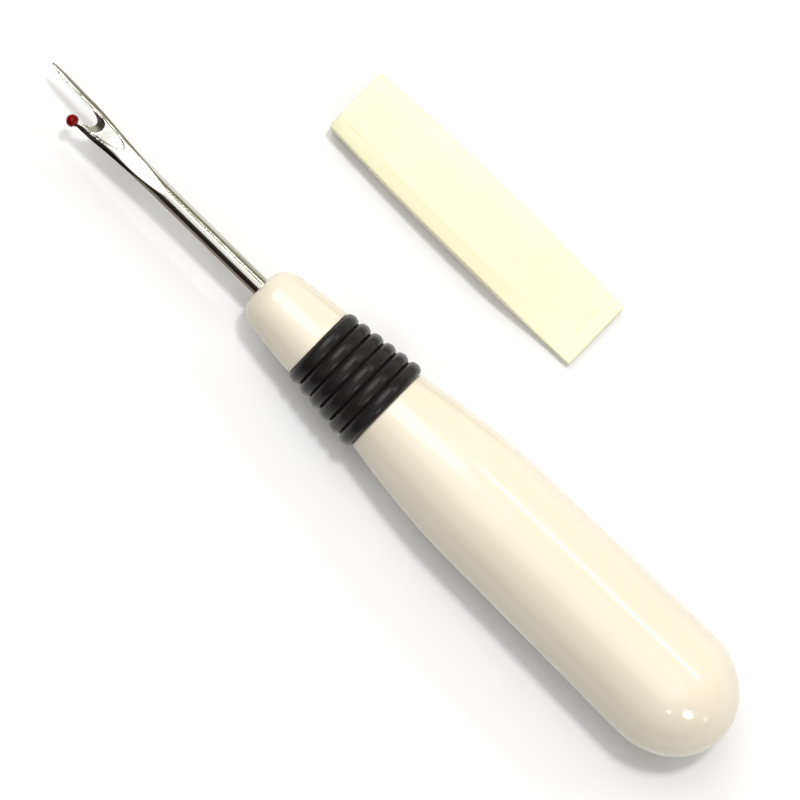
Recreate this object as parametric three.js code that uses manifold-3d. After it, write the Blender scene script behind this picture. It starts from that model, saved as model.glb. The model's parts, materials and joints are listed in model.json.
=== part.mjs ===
// A large-handled seam ripper lying on its side, with its soft cap beside it.
// Millimetres, +Z up. The origin is the middle of the whole object's base.
//
// The tool's own pieces are drawn about the tool's axis: the point is at x = 0, the butt is at
// x = -TOOL_LENGTH, and a "station" is a distance behind the point. "side" is the distance from
// the axis in the plane of the fork, positive towards the long point.

import * as THREE from 'three';
import { mergeVertices } from 'three/addons/utils/BufferGeometryUtils.js';
import Module from 'manifold-3d';

// Driving dimensions
const TOOL_LENGTH = 140;
const GAP = 0.3;

// Cutting and joining: points closer than this are one, and cuts run past the solid by a margin
const MERGE_DISTANCE = 1e-4;
const CUT_MARGIN = 1;
const CUT_HEIGHT = 3;
const CUT_WIDTH = 8;

// Blade
const STEM_RADIUS = 1.5;
const STEM_FRONT = 14;
const TANG_END = 78;
const FLAT_END = 24.5;
const FLAT_THICKNESS = 2.1;
const TAPER_START = 16;
const POINT_THICKNESS = 0.7;
const BALL_RADIUS = 0.93;
const BALL_STATION = 8;
const BALL_SIDE = -1.88;
const PIN_RADIUS = 0.25;
const PIN_INSIDE_BALL = 0.65;
const PIN_ROOT = 2.2;
const PIN_HOLE_ROOT = 2;
const PLATE_END = 18;
const PLATE_END_SIDE = 1.45;
const SHORT_PRONG_OUTSIDE = -2.1;
const SHORT_PRONG_INSIDE = -1.6;

// Nose collar
const NOSE_FRONT = 45.1;
const NOSE_FACE_RADIUS = 2.6;
const NOSE_ROUND_LENGTH = 3.9;
const NOSE_ROUND_RADIUS = 5.2;
const NOSE_RADIUS = 6.1;
const NOSE_SWELL = [53, 5.85];
const TANG_BORE_RADIUS = STEM_RADIUS + GAP;
const NECK_FRONT = 56.7;
const NECK_FRONT_RADIUS = 4.2;
const NECK_REAR_RADIUS = 5.1;
const PLUG_END = 84;
const PLUG_CHAMFER_LENGTH = 1;
const PLUG_CHAMFER_DEPTH = 0.8;

// Grip rings
const RING_COUNT = 6;
const RING_PITCH = 2.3;
const FIRST_RING = 58.05;
const FIRST_RING_RADIUS = 6.6;
const LAST_RING_RADIUS = 8;
const RING_CORD_RADIUS = (RING_PITCH - GAP) / 2;

// Handle body
const BODY_FRONT = 70.9;
const BODY_FRONT_RADIUS = 7.2;
const BARREL_START = 91.5;
const BARREL_START_RADIUS = 9.5;
const BARREL_END = 127.5;
const BARREL_END_RADIUS = 10.1;
const SWELL_STATION = 83.5;
const BUTT_LENGTH = 11.4;
const SOCKET_RADIUS = NECK_REAR_RADIUS + GAP;
const SOCKET_END = 86;
const CORE_RADIUS = 4.6;
const CORE_END = 122;
const CORE_CHAMFER = 1.5;

// Cap
const CAP_LENGTH = 50.3;
const CAP_MOUTH_WIDTH = 11.3;
const CAP_MIDDLE_WIDTH = 12.8;
const CAP_SEALED_WIDTH = 11.9;
const CAP_MOUTH_HEIGHT = 5.7;
const CAP_MIDDLE_HEIGHT = 6.3;
const CAP_LIP_HEIGHT = 1.5;
const CAP_LIP_LENGTH = 2.8;
const CAP_LIP_RISE = 1.3;
const CAP_SHOULDER_LENGTH = 15;
const CAP_WALL = 0.7;
const CAP_SIDE_WALL = 1.3;
const CAP_CAVITY_LENGTH = CAP_LENGTH - 5;
const CAP_MOUTH_OVERCUT = 0.01;
const CAP_CORNER_RADIUS = 2.2;
const CAP_STATION = 60.6;
const CAP_SIDE = 29.6;

// How finely round and curved pieces are faceted
const HANDLE_SIDES = 40;
const RING_SIDES = 32;
const RING_CORD_SIDES = 8;
const STEM_SIDES = 16;
const PIN_SIDES = 8;
const CAP_STEPS = 12;

const ivory = { color: 0xf3ead6, roughness: 0.18, metalness: 0 };
const blackRubber = { color: 0x1b1b1c, roughness: 0.55, metalness: 0 };
const steel = { color: 0xb9b6ac, roughness: 0.16, metalness: 1 };
const redPlastic = { color: 0x8b0a12, roughness: 0.15, metalness: 0 };
const paleYellow = { color: 0xfdfbd2, roughness: 0.4, metalness: 0 };

const wasm = await Module();
wasm.setup();

// Solids for cutting and joining

function solidFrom(geometry) {
  const bare = geometry.index ? geometry.clone() : geometry;
  bare.deleteAttribute('normal');
  bare.deleteAttribute('uv');
  const merged = mergeVertices(bare, MERGE_DISTANCE);
  return new wasm.Manifold(new wasm.Mesh({
    numProp: 3,
    vertProperties: new Float32Array(merged.attributes.position.array),
    triVerts: new Uint32Array(merged.index.array),
  }));
}

function geometryFrom(solid) {
  const mesh = solid.getMesh();
  const geometry = new THREE.BufferGeometry();
  geometry.setAttribute('position', new THREE.BufferAttribute(mesh.vertProperties, 3));
  geometry.setIndex(new THREE.BufferAttribute(mesh.triVerts, 1));
  geometry.computeVertexNormals();
  return geometry;
}

// Turns a closed outline of [station, radius] points about the tool's axis.
function revolve(outline, sides) {
  const profile = outline.map(([station, radius]) => new THREE.Vector2(radius, -station));
  const geometry = new THREE.LatheGeometry(profile.reverse(), sides);
  geometry.rotateZ(-Math.PI / 2);
  return geometry;
}

// A round bar along the tool's axis between two stations, set to one side of it.
function bar(radius, front, rear, sides, side = 0) {
  const geometry = new THREE.CylinderGeometry(radius, radius, rear - front, sides);
  geometry.rotateZ(-Math.PI / 2);
  geometry.translate(-(front + rear) / 2, -side, 0);
  return geometry;
}

function piece(name, geometry, finish) {
  const mesh = new THREE.Mesh(geometry, new THREE.MeshStandardMaterial(finish));
  mesh.name = name;
  return mesh;
}

// Blade: a drawn wire, flattened at the front and split into a fork

function alongFork(points) {
  return points.map(([station, side]) => new THREE.Vector2(-station, -side));
}

// The fork seen square on: long point, short prong, and the sharpened throat between them.
function forkOutline() {
  const point = [0, 2.2];
  const shortProngFront = BALL_STATION + BALL_RADIUS + 0.2;
  const outline = new THREE.Shape();
  outline.moveTo(-point[0], -point[1]);
  outline.splineThru(alongFork([
    [1.2, 2.42], [4.4, 2.45], [8.8, 2.3], [14.7, 1.8], [PLATE_END, PLATE_END_SIDE],
  ]));
  outline.lineTo(-PLATE_END, PLATE_END_SIDE);
  outline.splineThru(alongFork([
    [14.7, -1.75], [11.8, -2.0], [shortProngFront, SHORT_PRONG_OUTSIDE],
  ]));
  outline.lineTo(-shortProngFront, -SHORT_PRONG_INSIDE);
  outline.splineThru(alongFork([
    [10.0, -0.95], [10.9, 0.1], [10.5, 0.85], [9.7, 1.2], [7.8, 1.27], [5.0, 1.3], [2.4, 1.52], point,
  ]));
  return outline;
}

// One of two wedges that thin the fork from its root to its point; "face" is 1 on top, -1 below.
function taperWedge(face) {
  const root = FLAT_THICKNESS / 2;
  const tip = POINT_THICKNESS / 2;
  const wedge = new THREE.Shape();
  wedge.moveTo(-TAPER_START, face * root);
  wedge.lineTo(CUT_MARGIN, face * tip);
  wedge.lineTo(CUT_MARGIN, face * CUT_HEIGHT);
  wedge.lineTo(-TAPER_START, face * CUT_HEIGHT);
  wedge.closePath();
  const geometry = new THREE.ExtrudeGeometry(wedge, { depth: CUT_WIDTH, bevelEnabled: false });
  geometry.translate(0, 0, -CUT_WIDTH / 2);
  geometry.rotateX(Math.PI / 2);
  return solidFrom(geometry);
}

// A block that leaves a flat on one side of the stem behind the fork.
function stemFlat(face) {
  const geometry = new THREE.BoxGeometry(FLAT_END + CUT_MARGIN, CUT_WIDTH, CUT_HEIGHT);
  geometry.translate((CUT_MARGIN - FLAT_END) / 2, 0, face * (FLAT_THICKNESS + CUT_HEIGHT) / 2);
  return solidFrom(geometry);
}

function bladeGeometry() {
  const plate = new THREE.ExtrudeGeometry(forkOutline(), {
    depth: FLAT_THICKNESS,
    bevelEnabled: false,
    curveSegments: 3,
  });
  plate.translate(0, 0, -FLAT_THICKNESS / 2);
  const stem = bar(STEM_RADIUS, STEM_FRONT, TANG_END, STEM_SIDES);
  const pinTip = BALL_STATION + BALL_RADIUS - PIN_INSIDE_BALL;
  const pin = bar(PIN_RADIUS, pinTip, BALL_STATION + PIN_ROOT, PIN_SIDES, BALL_SIDE);
  const blank = solidFrom(plate).add(solidFrom(stem));
  const shaped = [1, -1].reduce((solid, face) => solid.subtract(taperWedge(face)).subtract(stemFlat(face)), blank);
  return geometryFrom(shaped.add(solidFrom(pin)));
}

// The bead on the short prong, with a blind hole that holds the prong's thin end.
function pointBallGeometry() {
  const sphere = new THREE.SphereGeometry(BALL_RADIUS, 20, 12);
  sphere.translate(-BALL_STATION, -BALL_SIDE, 0);
  const holeEnd = BALL_STATION + BALL_RADIUS - PIN_INSIDE_BALL - GAP;
  const hole = bar(PIN_RADIUS + GAP, holeEnd, BALL_STATION + PIN_HOLE_ROOT, PIN_SIDES, BALL_SIDE);
  return geometryFrom(solidFrom(sphere).subtract(solidFrom(hole)));
}

// Handle: nose collar, grip rings and body

// Points on a quarter ellipse that starts along the axis side and ends square to it.
function quarterEllipse(from, to, steps, startsSquare) {
  const points = [];
  for (let step = 1; step <= steps; step += 1) {
    const angle = (step / steps) * Math.PI / 2;
    const along = startsSquare ? 1 - Math.cos(angle) : Math.sin(angle);
    const across = startsSquare ? Math.sin(angle) : 1 - Math.cos(angle);
    points.push([from[0] + (to[0] - from[0]) * along, from[1] + (to[1] - from[1]) * across]);
  }
  return points;
}

function bend(from, control, to, steps) {
  const ends = [from, control, to].map(([station, radius]) => new THREE.Vector2(station, radius));
  const curve = new THREE.QuadraticBezierCurve(...ends);
  return curve.getPoints(steps).map((point) => [point.x, point.y]);
}

function noseCollarGeometry() {
  const shoulder = [NOSE_FRONT + NOSE_ROUND_LENGTH, NOSE_ROUND_RADIUS];
  const boreEnd = TANG_END + GAP;
  const outline = [
    [boreEnd, 0],
    [boreEnd, TANG_BORE_RADIUS],
    [NOSE_FRONT, TANG_BORE_RADIUS],
    [NOSE_FRONT, NOSE_FACE_RADIUS],
    ...quarterEllipse([NOSE_FRONT, NOSE_FACE_RADIUS], shoulder, 5, true),
    ...bend(shoulder, NOSE_SWELL, [NECK_FRONT, NOSE_RADIUS], 5).slice(1),
    [NECK_FRONT, NECK_FRONT_RADIUS],
    [BODY_FRONT, NECK_REAR_RADIUS],
    [PLUG_END - PLUG_CHAMFER_LENGTH, NECK_REAR_RADIUS],
    [PLUG_END, NECK_REAR_RADIUS - PLUG_CHAMFER_DEPTH],
    [PLUG_END, 0],
  ];
  return revolve(outline, HANDLE_SIDES);
}

function ringGeometry(index) {
  const station = FIRST_RING + index * RING_PITCH;
  const growth = (LAST_RING_RADIUS - FIRST_RING_RADIUS) / (RING_COUNT - 1);
  const centreRadius = FIRST_RING_RADIUS + index * growth - RING_CORD_RADIUS;
  const section = [];
  for (let corner = 0; corner <= RING_CORD_SIDES; corner += 1) {
    const angle = (corner % RING_CORD_SIDES) * 2 * Math.PI / RING_CORD_SIDES;
    const along = station - RING_CORD_RADIUS * Math.cos(angle);
    section.push([along, centreRadius + RING_CORD_RADIUS * Math.sin(angle)]);
  }
  return revolve(section, RING_SIDES);
}

function handleBodyGeometry() {
  const barrelStart = [BARREL_START, BARREL_START_RADIUS];
  const buttStart = [TOOL_LENGTH - BUTT_LENGTH, BARREL_END_RADIUS];
  const swellRadius = BARREL_START_RADIUS + (SWELL_STATION - BARREL_START) * barrelSlope();
  const outline = [
    [CORE_END, 0],
    [CORE_END, CORE_RADIUS - CORE_CHAMFER],
    [CORE_END - CORE_CHAMFER, CORE_RADIUS],
    [SOCKET_END, CORE_RADIUS],
    [SOCKET_END, SOCKET_RADIUS],
    [BODY_FRONT, SOCKET_RADIUS],
    [BODY_FRONT, BODY_FRONT_RADIUS],
    ...bend([BODY_FRONT, BODY_FRONT_RADIUS], [SWELL_STATION, swellRadius], barrelStart, 6).slice(1),
    [BARREL_END, BARREL_END_RADIUS],
    buttStart,
    ...quarterEllipse(buttStart, [TOOL_LENGTH, 0], 8, false),
  ];
  return revolve(outline, HANDLE_SIDES);
}

function barrelSlope() {
  return (BARREL_END_RADIUS - BARREL_START_RADIUS) / (BARREL_END - BARREL_START);
}

// Cap: a soft flat tube, widest and tallest in the middle, pinched flat where it is sealed

function capWidth(along) {
  const u = along / CAP_LENGTH;
  const bulge = CAP_MIDDLE_WIDTH - (CAP_MOUTH_WIDTH + CAP_SEALED_WIDTH) / 2;
  return CAP_MOUTH_WIDTH * (1 - u) + CAP_SEALED_WIDTH * u + 4 * bulge * u * (1 - u);
}

// How far the tube has opened out from the flat lip: 0 on the lip, 1 past the shoulder.
function capFullness(along) {
  const fromLip = CAP_LENGTH - CAP_LIP_LENGTH - along;
  return THREE.MathUtils.smoothstep(fromLip, 0, CAP_SHOULDER_LENGTH);
}

function capHeight(along) {
  const u = along / CAP_LENGTH;
  const full = CAP_MOUTH_HEIGHT + 4 * (CAP_MIDDLE_HEIGHT - CAP_MOUTH_HEIGHT) * u * (1 - u);
  return CAP_LIP_HEIGHT + (full - CAP_LIP_HEIGHT) * capFullness(along);
}

function capUnderside(along) {
  return CAP_LIP_RISE * (1 - capFullness(along));
}

// A rounded rectangle, one unit wide and standing on y = 0, one unit high.
function unitSection(cornerWidth, cornerHeight) {
  const section = new THREE.Shape();
  const corners = [[0.5, 0, -90], [0.5, 1, 0], [-0.5, 1, 90], [-0.5, 0, 180]];
  for (const [x, y, start] of corners) {
    const centreX = x - Math.sign(x) * cornerWidth;
    const centreY = y === 0 ? cornerHeight : 1 - cornerHeight;
    const from = THREE.MathUtils.degToRad(start);
    section.absellipse(centreX, centreY, cornerWidth, cornerHeight, from, from + Math.PI / 2);
  }
  return section;
}

// Carries the section from the mouth (x = 0) back to x = -length, inside the given wall.
function capSolid(length, wall, sideWall) {
  const cornerWidth = (CAP_CORNER_RADIUS - wall) / (CAP_MIDDLE_WIDTH - 2 * sideWall);
  const cornerHeight = (CAP_CORNER_RADIUS - wall) / (CAP_MIDDLE_HEIGHT - 2 * wall);
  const section = unitSection(cornerWidth, cornerHeight);
  const geometry = new THREE.ExtrudeGeometry(section, {
    depth: length,
    steps: CAP_STEPS,
    curveSegments: 4,
    bevelEnabled: false,
  });
  const position = geometry.attributes.position;
  for (let vertex = 0; vertex < position.count; vertex += 1) {
    const along = position.getZ(vertex);
    const y = position.getX(vertex) * (capWidth(along) - 2 * sideWall);
    const z = capUnderside(along) + wall + position.getY(vertex) * (capHeight(along) - 2 * wall);
    position.setXYZ(vertex, -along, -y, z);
  }
  return geometry;
}

function capGeometry() {
  const outside = solidFrom(capSolid(CAP_LENGTH, 0, 0));
  const cavity = capSolid(CAP_CAVITY_LENGTH, CAP_WALL, CAP_SIDE_WALL);
  cavity.translate(CAP_MOUTH_OVERCUT, 0, 0);
  return geometryFrom(outside.subtract(solidFrom(cavity)));
}

// Assembly

// The barrel is a slight cone, so the tool lies on it with its axis nose down by the cone's slope.
function layToolDown(tool) {
  const tilt = Math.atan(barrelSlope());
  const radiusAtPoint = BARREL_START_RADIUS - BARREL_START * barrelSlope();
  tool.rotation.y = tilt;
  tool.position.z = radiusAtPoint * Math.cos(tilt);
}

const tool = new THREE.Group();
tool.add(piece('blade', bladeGeometry(), steel));
tool.add(piece('point_ball', pointBallGeometry(), redPlastic));
tool.add(piece('nose_collar', noseCollarGeometry(), ivory));
for (let index = 0; index < RING_COUNT; index += 1) {
  tool.add(piece(`grip_ring_${index + 1}`, ringGeometry(index), blackRubber));
}
tool.add(piece('handle_body', handleBodyGeometry(), ivory));
layToolDown(tool);

const cap = piece('cap', capGeometry(), paleYellow);
cap.position.set(CAP_LENGTH / 2 - CAP_STATION, -CAP_SIDE, 0);

const seamRipper = new THREE.Group();
seamRipper.add(tool, cap);
const extent = new THREE.Box3().setFromObject(seamRipper, true);
const middle = extent.getCenter(new THREE.Vector3());
seamRipper.position.set(-middle.x, -middle.y, -extent.min.z);

export default seamRipper;
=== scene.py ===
"""The looks of a large-handled seam ripper and its soft cap, lying on a pale table.

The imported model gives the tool's place, its axis and the cap's box. Sizes here are millimetres
until a point is placed, and a placed point is in metres, in the model's own frame. On the tool a
"station" is a distance behind the point along the tool's axis, "side" is the distance from that
axis towards the long point of the fork, and "height" is the distance above it.
"""

import json
import logging
import math
from collections.abc import Sequence
from dataclasses import dataclass
from enum import Enum

import bmesh
import bpy
import numpy as np
from mathutils import Matrix, Vector


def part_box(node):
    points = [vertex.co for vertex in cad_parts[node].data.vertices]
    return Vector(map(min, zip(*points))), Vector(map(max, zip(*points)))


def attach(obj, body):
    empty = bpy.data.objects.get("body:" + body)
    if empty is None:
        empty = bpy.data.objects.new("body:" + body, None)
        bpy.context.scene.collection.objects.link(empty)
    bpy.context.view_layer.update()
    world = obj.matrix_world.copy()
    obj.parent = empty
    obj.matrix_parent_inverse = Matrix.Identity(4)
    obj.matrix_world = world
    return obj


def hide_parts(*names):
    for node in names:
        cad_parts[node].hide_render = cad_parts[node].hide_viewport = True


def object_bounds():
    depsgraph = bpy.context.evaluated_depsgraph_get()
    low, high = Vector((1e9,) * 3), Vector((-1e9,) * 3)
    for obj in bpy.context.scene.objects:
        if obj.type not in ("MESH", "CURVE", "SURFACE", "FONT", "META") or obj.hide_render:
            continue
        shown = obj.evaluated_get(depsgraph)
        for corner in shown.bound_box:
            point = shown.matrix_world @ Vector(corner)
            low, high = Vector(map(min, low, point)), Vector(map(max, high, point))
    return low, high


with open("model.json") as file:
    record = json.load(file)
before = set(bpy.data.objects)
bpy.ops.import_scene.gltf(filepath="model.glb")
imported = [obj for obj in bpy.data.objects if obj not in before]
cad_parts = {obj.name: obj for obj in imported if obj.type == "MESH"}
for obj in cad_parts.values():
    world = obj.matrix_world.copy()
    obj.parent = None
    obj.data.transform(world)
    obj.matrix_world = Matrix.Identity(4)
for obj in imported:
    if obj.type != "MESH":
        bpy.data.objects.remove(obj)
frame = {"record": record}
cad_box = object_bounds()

Array = np.ndarray
Tone = tuple[float, float, float, float]
Span = tuple[float, float]
MM = 0.001
MARK = "ground"
log = logging.getLogger("seam_ripper")


class Body(Enum):
    """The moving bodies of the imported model."""

    TOOL = "tool"
    CAP = "cap"


class Slot(Enum):
    """The record's material slots."""

    STEEL = "steel"
    RED_BEAD = "red_bead"
    IVORY = "ivory"
    BLACK_RUBBER = "black_rubber"
    SOFT_CAP = "soft_cap"


# Curves and blends


def smoothstep(low: float, high: float, x: Array) -> Array:
    """Rises from 0 at low to 1 at high as 3t^2 - 2t^3, with t the share of the way.

    Args:
        low: Where the rise starts; it may be above high for a fall.
        high: Where it ends.
        x: Places to work it out at.

    Returns:
        The share at each place.
    """
    t = np.clip((np.asarray(x, float) - low) / (high - low), 0.0, 1.0)
    return t * t * (3.0 - 2.0 * t)


def lower_of(a: Array, b: Array, rounding: float) -> Array:
    """The lower of a and b, with the crease where they cross rounded.

    Args:
        a: First height.
        b: Second height.
        rounding: Difference between a and b within which they blend.

    Returns:
        b(1 - h) + ah - rounding h(1 - h), where h goes from 0 to 1 as a passes below b.
    """
    h = np.clip(0.5 + 0.5 * (b - a) / rounding, 0.0, 1.0)
    return b * (1.0 - h) + a * h - rounding * h * (1.0 - h)


def through(knots: Sequence[tuple[float, float]], x: Array) -> Array:
    """A smooth curve through the knots, a cubic between each two with matching slopes.

    It can swing a little past the knots where their spacing changes a lot.

    Args:
        knots: (place, value) pairs, in order of place.
        x: Places to work it out at; beyond the ends the end values hold.

    Returns:
        The curve's value at each place.
    """
    at, value = np.array(knots, float).T
    slope = np.gradient(value, at)
    x = np.clip(np.asarray(x, float), at[0], at[-1])
    i = np.clip(np.searchsorted(at, x) - 1, 0, len(at) - 2)
    span = at[i + 1] - at[i]
    t = (x - at[i]) / span
    rise = value[i] * (1 + 2 * t) * (1 - t) ** 2 + value[i + 1] * t * t * (3 - 2 * t)
    return rise + span * (slope[i] * t * (1 - t) ** 2 - slope[i + 1] * t * t * (1 - t))


def bend(start: Sequence[float], control: Sequence[float], end: Sequence[float], steps: int) -> Array:
    """A quadratic curve: start(1-t)^2 + 2 control t(1-t) + end t^2.

    Args:
        start: First point.
        control: Point that the ends aim at.
        end: Last point.
        steps: Number of pieces.

    Returns:
        Points along the curve, both ends included.
    """
    t = np.linspace(0.0, 1.0, steps + 1)[:, None]
    a, b, c = (np.array(p, float) for p in (start, control, end))
    return a * (1 - t) ** 2 + 2 * b * t * (1 - t) + c * t * t


def filleted(corners: Sequence[tuple[float, float, float]], steps: int = 6) -> Array:
    """A chain of straight lines whose inner corners are eased by quadratic curves.

    Args:
        corners: (station, radius, fillet) of each corner; the curve starts and ends one fillet
            away from the corner. The ends' fillets aren't used.
        steps: Pieces in each curve.

    Returns:
        Points along the chain.
    """
    points = np.array([c[:2] for c in corners], float)
    rows = [points[:1]]
    for before, corner, after, (_, _, fillet) in zip(points, points[1:], points[2:], corners[1:]):
        back = (before - corner) / np.linalg.norm(before - corner)
        ahead = (after - corner) / np.linalg.norm(after - corner)
        rows.append(bend(corner + back * fillet, corner, corner + ahead * fillet, steps))
    rows.append(points[-1:])
    return np.vstack(rows)


def quarter_ellipse(start: Sequence[float], end: Sequence[float], steps: int, square_start: bool) -> Array:
    """A quarter of an ellipse between two (station, radius) points.

    Args:
        start: First point.
        end: Last point.
        steps: Number of pieces.
        square_start: True if the curve leaves its start square to the axis.

    Returns:
        Points after the start: 1 - cos and sin of the angle share out the two distances.
    """
    angle = np.linspace(0.0, np.pi / 2, steps + 1)[1:]
    rise, run = 1 - np.cos(angle), np.sin(angle)
    share = np.stack([rise, run] if square_start else [run, rise], axis=1)
    return np.array(start, float) + (np.array(end, float) - np.array(start, float)) * share


# Meshes


def add_object(name: str, data: bpy.types.ID) -> bpy.types.Object:
    """Puts a new object that shows the data into the scene."""
    obj = bpy.data.objects.new(name, data)
    bpy.context.scene.collection.objects.link(obj)
    return obj


class Shell:
    """Gathers grids of points and joins them into one closed mesh."""

    def __init__(self) -> None:
        """Starts with no grids."""
        self._points: list[Array] = []
        self._faces: list[Array] = []
        self._marks: list[Array] = []
        self._count = 0

    def patch(self, grid: Array, mark: Array | None = None) -> None:
        """Adds a grid of points as quads.

        Args:
            grid: (rows, columns, 3) points in metres.
            mark: (rows, columns) value kept with each point for the finish, 0 if not given.
        """
        rows, columns = grid.shape[:2]
        index = self._count + np.arange(rows * columns).reshape(rows, columns)
        quads = np.stack([index[:-1, :-1], index[1:, :-1], index[1:, 1:], index[:-1, 1:]], axis=-1)
        self._points.append(grid.reshape(-1, 3))
        self._faces.append(quads.reshape(-1, 4))
        self._marks.append(np.zeros(rows * columns) if mark is None else np.asarray(mark, float).ravel())
        self._count += rows * columns

    def build(self, name: str, crease_deg: float = 40.0) -> bpy.types.Object:
        """Makes the object, with seams and poles merged and every face pointing out.

        Args:
            name: The piece's name.
            crease_deg: Edges that turn more than this are drawn sharp.

        Returns:
            The new object, at the origin.
        """
        mesh = bpy.data.meshes.new(name)
        points = np.vstack(self._points)
        faces = np.vstack(self._faces)
        mesh.vertices.add(len(points))
        mesh.vertices.foreach_set("co", points.astype(np.float32).ravel())
        mesh.loops.add(faces.size)
        mesh.loops.foreach_set("vertex_index", faces.astype(np.int32).ravel())
        mesh.polygons.add(len(faces))
        mesh.polygons.foreach_set("loop_start", np.arange(0, faces.size, 4, dtype=np.int32))
        mesh.polygons.foreach_set("loop_total", np.full(len(faces), 4, dtype=np.int32))
        mesh.update(calc_edges=True)
        mark = mesh.attributes.new(MARK, "FLOAT", "POINT")
        mark.data.foreach_set("value", np.concatenate(self._marks).astype(np.float32))
        self._close(mesh)
        mesh.polygons.foreach_set("use_smooth", np.ones(len(mesh.polygons), dtype=bool))
        mesh.set_sharp_from_angle(angle=math.radians(crease_deg))
        return add_object(name, mesh)

    @staticmethod
    def _close(mesh: bpy.types.Mesh) -> None:
        """Merges points that meet at seams and poles, then turns the faces outwards."""
        work = bmesh.new()
        work.from_mesh(mesh)
        bmesh.ops.remove_doubles(work, verts=work.verts, dist=2e-7)
        bmesh.ops.dissolve_degenerate(work, edges=work.edges, dist=1e-8)
        bmesh.ops.recalc_face_normals(work, faces=work.faces)
        work.to_mesh(mesh)
        work.free()


# Where the tool lies


@dataclass(frozen=True)
class ToolAxis:
    """The tool's own directions in the frame, and where its axis passes the point."""

    start: Array
    back: Array
    side: Array
    up: Array

    NOSE_STATION = 45.1
    NOSE_MOUNT_HEIGHT = 2.2

    @classmethod
    def from_record(cls, record: dict) -> "ToolAxis":
        """Reads the axis off the mount on the nose's flat face.

        Args:
            record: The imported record.

        Returns:
            The tool's axis.
        """
        mount = next(m for m in record["mounts"] if m["name"] == "nose_face")
        forward = np.array(mount["axis"], float)
        forward /= np.linalg.norm(forward)
        side = np.array((0.0, -1.0, 0.0))
        up = np.cross(-forward, side)
        on_axis = np.array(mount["pos_m"], float) - up * cls.NOSE_MOUNT_HEIGHT * MM
        return cls(on_axis + forward * cls.NOSE_STATION * MM, -forward, side, up)

    def place(self, station: Array, side: Array, height: Array) -> Array:
        """Turns millimetres on the tool into points of the frame.

        Args:
            station: Distances behind the point.
            side: Distances towards the long point.
            height: Distances above the axis.

        Returns:
            Points in metres: start + station back + side side + height up.
        """
        station, side, height = np.broadcast_arrays(station, side, height)
        parts = ((station, self.back), (side, self.side), (height, self.up))
        return self.start + sum(amount[..., None] * MM * way for amount, way in parts)

    def revolve(self, outline: Array, sides: int, side: float = 0.0) -> Array:
        """Turns a (station, radius) outline about the axis, or a line beside it.

        Args:
            outline: (points, 2) outline.
            sides: Number of facets round.
            side: How far the line is from the axis.

        Returns:
            Grid of points: side r sin(a), height r cos(a) for a all the way round.
        """
        angle = np.linspace(0.0, 2 * np.pi, sides + 1)[None, :]
        angle = angle % (2 * np.pi)
        station, radius = outline[:, 0][:, None], outline[:, 1][:, None]
        return self.place(station + 0 * angle, side + radius * np.sin(angle), radius * np.cos(angle))


# Node groups and finishes


class Graph:
    """Adds nodes to one tree and links them."""

    def __init__(self, tree: bpy.types.NodeTree) -> None:
        """Keeps the tree that nodes go into."""
        self.tree = tree

    def join(self, value: object, socket: bpy.types.NodeSocket) -> None:
        """Links value to the socket if it is a socket too, or else sets it."""
        if isinstance(value, bpy.types.NodeSocket):
            self.tree.links.new(value, socket)
        else:
            socket.default_value = value

    def add(
        self, kind: str, inputs: dict[str | int, object] | None = None, **settings: object
    ) -> bpy.types.Node:
        """Adds one node.

        Args:
            kind: The node's type.
            inputs: Socket name or number to a value, or to the socket that feeds it.
            settings: The node's own properties.

        Returns:
            The new node.
        """
        node = self.tree.nodes.new(kind)
        for name, value in settings.items():
            setattr(node, name, value)
        for key, value in (inputs or {}).items():
            self.join(value, node.inputs[key])
        return node

    def math(self, operation: str, *values: object) -> bpy.types.NodeSocket:
        """One sum on values or sockets, and the socket with its answer."""
        return self.add("ShaderNodeMath", dict(enumerate(values)), operation=operation).outputs[0]

    def mix(self, factor: object, a: object, b: object) -> bpy.types.NodeSocket:
        """Goes from colour a to colour b by factor, and returns the colour's socket."""
        node = self.add("ShaderNodeMix", {"Factor": factor}, data_type="RGBA")
        for socket, value in (("A_Color", a), ("B_Color", b)):
            self.join(value, next(s for s in node.inputs if s.identifier == socket))
        return next(s for s in node.outputs if s.identifier == "Result_Color")

    def spread(
        self, value: object, low: float, high: float, to_low: float, to_high: float
    ) -> bpy.types.NodeSocket:
        """Moves a value from one range to another, held at its ends."""
        node = self.add("ShaderNodeMapRange", {0: value, 1: low, 2: high, 3: to_low, 4: to_high})
        return node.outputs[0]

    def bump(self, height: object, strength: float, distance: float) -> bpy.types.NodeSocket:
        """The normal of a surface raised by height times distance, in metres."""
        inputs = {"Height": height, "Strength": strength, "Distance": distance}
        return self.add("ShaderNodeBump", inputs).outputs[0]

    def on_piece(self) -> bpy.types.NodeSocket:
        """The place on the piece, in its own coordinates."""
        return self.add("ShaderNodeTexCoord").outputs["Object"]


class GroupName(Enum):
    """The shared surface effects."""

    GRAIN = "moulded_grain"
    HANDLING = "handling_marks"
    HAIRLINES = "hairline_scratches"
    TINT = "uneven_tint"


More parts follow.
